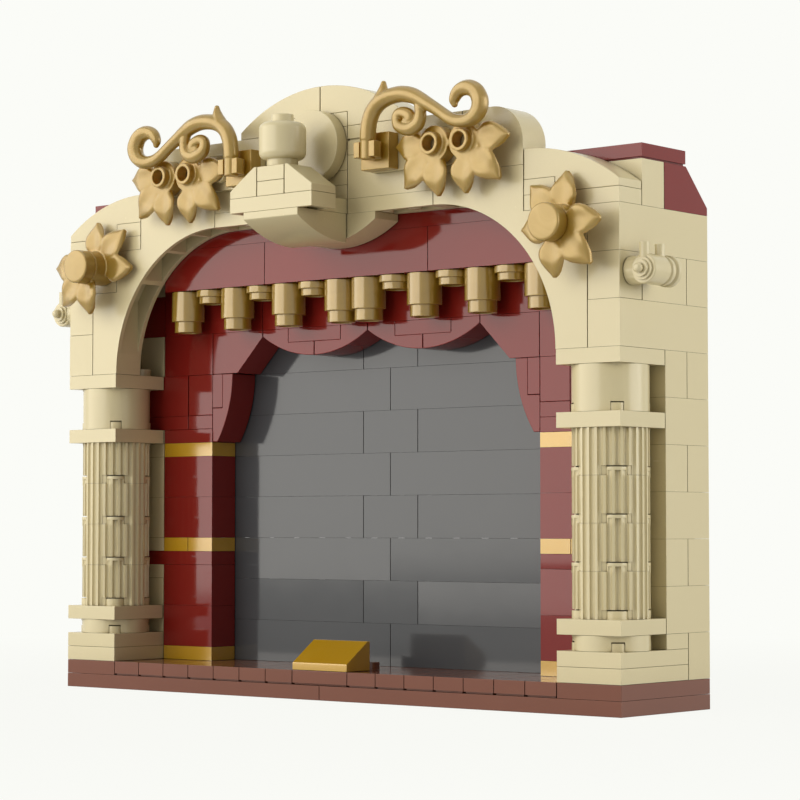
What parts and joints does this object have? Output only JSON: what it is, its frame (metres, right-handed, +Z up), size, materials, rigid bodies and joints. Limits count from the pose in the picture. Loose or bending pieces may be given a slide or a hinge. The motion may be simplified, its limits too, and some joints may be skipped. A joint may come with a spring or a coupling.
{
  "type": "building block theatre model",
  "caption": "Toy theatre built from interlocking bricks: arched stage with fluted columns, swagged curtain, gilt vines, flowers and a faceless bust.",
  "frame": {"origin": "centre of the flat underside of the base", "axes": "+X along the stage to the audience's right, +Y from the audience to the back wall, +Z up"},
  "size_m": [0.1754, 0.049, 0.1344],
  "materials": {
    "tan_plastic": "smooth moulded tan plastic",
    "reddish_brown_plastic": "smooth moulded reddish brown plastic",
    "old_gold_plastic": "smooth moulded plastic of an old gold colour",
    "pearl_gold_plastic": "moulded plastic with a fine pearl sheen",
    "dark_red_plastic": "shiny moulded dark red plastic",
    "bluish_grey_plastic": "shiny moulded dark grey plastic"
  },
  "bodies": {
    "stage": {"base_plates": "reddish_brown_plastic", "stage_corner_plates": "reddish_brown_plastic", "stage_tiles": "reddish_brown_plastic", "stage_rear_plates": "reddish_brown_plastic", "stage_seat_plates": "reddish_brown_plastic", "stage_centre_tile": "reddish_brown_plastic", "prompter_box": "old_gold_plastic", "column_plinths": "tan_plastic", "column_base_rounds": "tan_plastic", "column_square_plates": "tan_plastic", "fluted_column_bricks": "tan_plastic", "column_drums": "tan_plastic", "side_wall_bricks": "tan_plastic", "side_wall_plates": "tan_plastic", "upper_wall_bricks": "tan_plastic", "ornament_stud_bricks": "tan_plastic", "arch_left": "tan_plastic", "arch_right": "tan_plastic", "shoulder_plates": "tan_plastic", "curved_slopes": "tan_plastic", "rounded_top_blocks": "tan_plastic", "crown_plates": "tan_plastic", "crown_centre_plate": "tan_plastic", "lintel_bricks": "tan_plastic", "lintel_fillers": "tan_plastic", "ornament_brackets": "tan_plastic", "frieze_plates": "tan_plastic", "frieze_tiles": "tan_plastic", "centre_boss_brick": "tan_plastic", "bust_front_slope": "tan_plastic", "crown_half_bows": "tan_plastic", "bust_base_plate": "tan_plastic", "bust_cheek_slopes": "tan_plastic", "bust_torso_plates": "tan_plastic", "vine_clips": "pearl_gold_plastic", "leaf_sprigs": "pearl_gold_plastic", "curtain_gold_plates": "old_gold_plastic", "curtain_bricks": "dark_red_plastic", "curtain_plates": "dark_red_plastic", "drape_stud_bricks": "dark_red_plastic", "drape_filler_plates": "dark_red_plastic", "half_bows": "dark_red_plastic", "drape_corner_slopes": "dark_red_plastic", "header_bricks": "dark_red_plastic", "fringe_tassels_long": "old_gold_plastic", "fringe_tassels_short": "old_gold_plastic", "valance_backing": "dark_red_plastic", "rear_wall_bricks": "bluish_grey_plastic", "roof_slopes": "dark_red_plastic", "roof_cap_tiles": "dark_red_plastic", "gable_bricks": "tan_plastic"},
    "head": {"bust_head": "tan_plastic"},
    "vine_left": {"vine_left": "pearl_gold_plastic"},
    "vine_right": {"vine_right": "pearl_gold_plastic"},
    "flower_left": {"flower_left": "pearl_gold_plastic"},
    "flower_right": {"flower_right": "pearl_gold_plastic"},
    "side_fitting_left": {"side_fitting_left": "tan_plastic"},
    "side_fitting_right": {"side_fitting_right": "tan_plastic"},
    "medallion": {"centre_disc": "tan_plastic"}
  },
  "joints": [
    {"name": "head_turn", "type": "hinge", "parent": "stage", "child": "head", "pos_m": [0, -0.028, 0.12], "axis": [0, 0, 1], "continuous": true},
    {"name": "vine_left_swing", "type": "hinge", "parent": "stage", "child": "vine_left", "pos_m": [-0.02, -0.0231, 0.1176], "axis": [0, 0, 1], "range_deg": [0, 125]},
    {"name": "vine_right_swing", "type": "hinge", "parent": "stage", "child": "vine_right", "pos_m": [0.02, -0.0231, 0.1176], "axis": [0, 0, 1], "range_deg": [-125, 0]},
    {"name": "flower_left_turn", "type": "hinge", "parent": "stage", "child": "flower_left", "pos_m": [-0.068, -0.016, 0.0984], "axis": [0, 1, 0], "continuous": true},
    {"name": "flower_right_turn", "type": "hinge", "parent": "stage", "child": "flower_right", "pos_m": [0.068, -0.016, 0.0984], "axis": [0, 1, 0], "continuous": true},
    {"name": "side_fitting_left_turn", "type": "hinge", "parent": "stage", "child": "side_fitting_left", "pos_m": [-0.08, -0.012, 0.0888], "axis": [1, 0, 0], "continuous": true},
    {"name": "side_fitting_right_turn", "type": "hinge", "parent": "stage", "child": "side_fitting_right", "pos_m": [0.08, -0.012, 0.0888], "axis": [1, 0, 0], "continuous": true},
    {"name": "medallion_turn", "type": "hinge", "parent": "stage", "child": "medallion", "pos_m": [0, -0.016, 0.1208], "axis": [0, 1, 0], "continuous": true}
  ]
}
